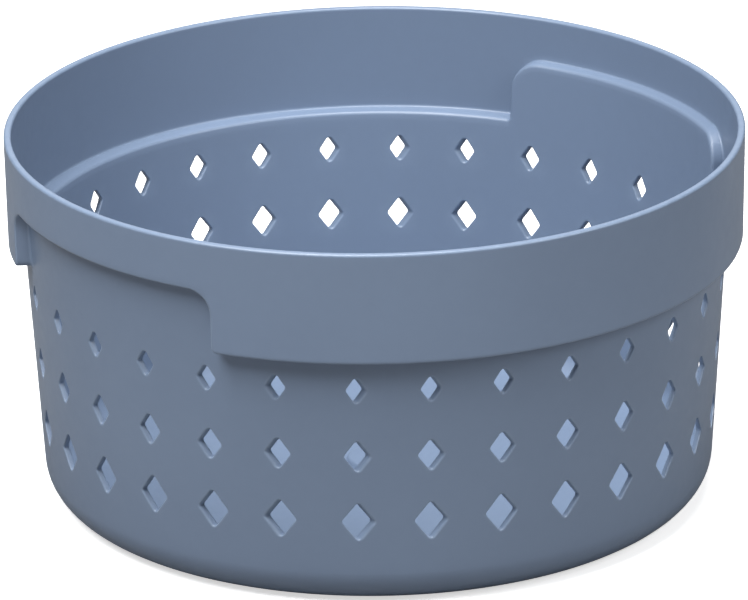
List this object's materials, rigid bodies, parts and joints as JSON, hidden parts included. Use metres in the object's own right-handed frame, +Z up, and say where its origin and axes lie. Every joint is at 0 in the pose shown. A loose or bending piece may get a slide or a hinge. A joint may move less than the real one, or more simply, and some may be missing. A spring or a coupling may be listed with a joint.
{
  "type": "salad spinner basket",
  "caption": "Round perforated inner basket of a hand-driven salad spinner, with a stepped rim band, tapered wall and diamond drain holes.",
  "frame": {"origin": "on the basket's axis, on the plane that its flat base stands on", "axes": "+Z up along the basket's axis; -Y points to the front, where the rim band is deep; the shallow stretches of the band lie at azimuths -51 and 129 degrees from the front, counted towards +X"},
  "size_m": [0.241, 0.241, 0.124],
  "materials": {
    "basket_plastic": "satin moulded polypropylene, muted blue-grey"
  },
  "bodies": {
    "root": {"basket": "basket_plastic"}
  },
  "joints": []
}
